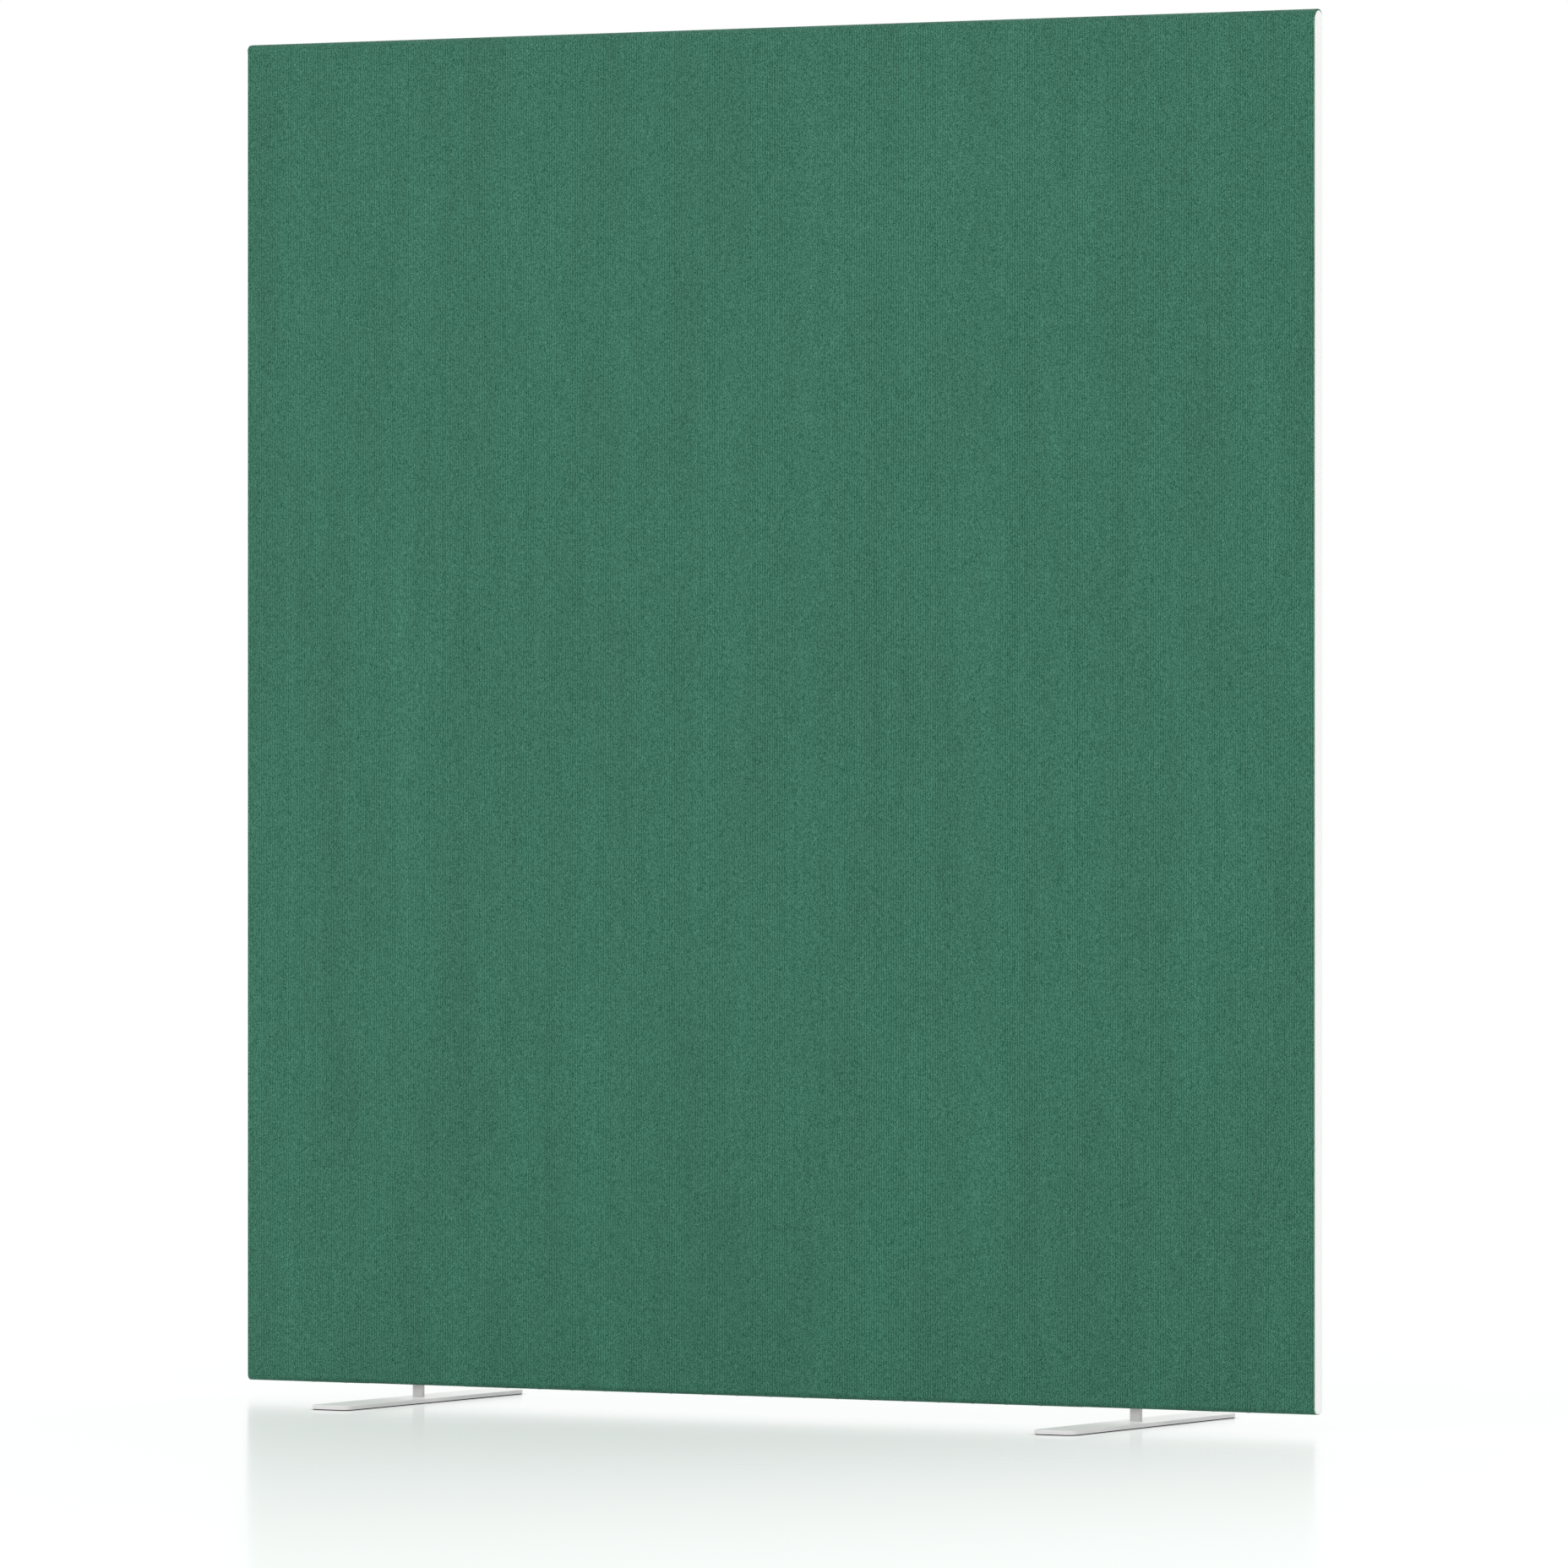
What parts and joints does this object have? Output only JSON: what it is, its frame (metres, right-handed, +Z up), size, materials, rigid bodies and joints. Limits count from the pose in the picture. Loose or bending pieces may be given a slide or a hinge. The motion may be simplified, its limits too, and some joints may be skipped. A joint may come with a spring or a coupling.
{
  "type": "office floor screen",
  "caption": "Free-standing office floor screen: a thin cloth-covered acoustic panel with a rounded top edge and white end edging, on flat steel plate feet with short uprights.",
  "frame": {"origin": "on the floor, under the middle of the panel and midway between the feet", "axes": "+Z up, X along the panel's width, Y through its thickness and along the feet; -Y is the front"},
  "size_m": [1.6, 0.45, 1.8],
  "materials": {
    "cover_cloth": "green ribbed woven screen cloth",
    "lining_felt": "needled polyester felt, pale grey",
    "core_fibre": "pressed textile-fibre sound board",
    "frame_wood": "planed softwood",
    "dowel_beech": "turned beech",
    "edging_plastic": "extruded white plastic edging, satin",
    "foot_paint": "light grey-white powder coat on steel",
    "pad_rubber": "thin dark rubber sheet",
    "screw_zinc": "bright zinc plate",
    "insert_brass": "turned brass",
    "staple_wire": "galvanised wire"
  },
  "bodies": {
    "root": {"back_felt": "lining_felt", "bottom_rail": "frame_wood", "centre_left_cross_rail": "frame_wood", "centre_mullion": "frame_wood", "centre_right_cross_rail": "frame_wood", "fabric_cover": "cover_cloth", "fabric_staples": "staple_wire", "foot_screws": "screw_zinc", "frame_dowels": "dowel_beech", "front_felt": "lining_felt", "left_cross_rail": "frame_wood", "left_end_strip": "edging_plastic", "left_floor_pad": "pad_rubber", "left_foot_plate": "foot_paint", "left_mounting_plate": "foot_paint", "left_mullion": "frame_wood", "left_stile": "frame_wood", "left_upright": "foot_paint", "lower_centre_left_core": "core_fibre", "lower_centre_right_core": "core_fibre", "lower_left_core": "core_fibre", "lower_right_core": "core_fibre", "right_cross_rail": "frame_wood", "right_end_strip": "edging_plastic", "right_floor_pad": "pad_rubber", "right_foot_plate": "foot_paint", "right_mounting_plate": "foot_paint", "right_mullion": "frame_wood", "right_stile": "frame_wood", "right_upright": "foot_paint", "threaded_inserts": "insert_brass", "top_rail": "frame_wood", "upper_centre_left_core": "core_fibre", "upper_centre_right_core": "core_fibre", "upper_left_core": "core_fibre", "upper_right_core": "core_fibre"}
  },
  "joints": []
}
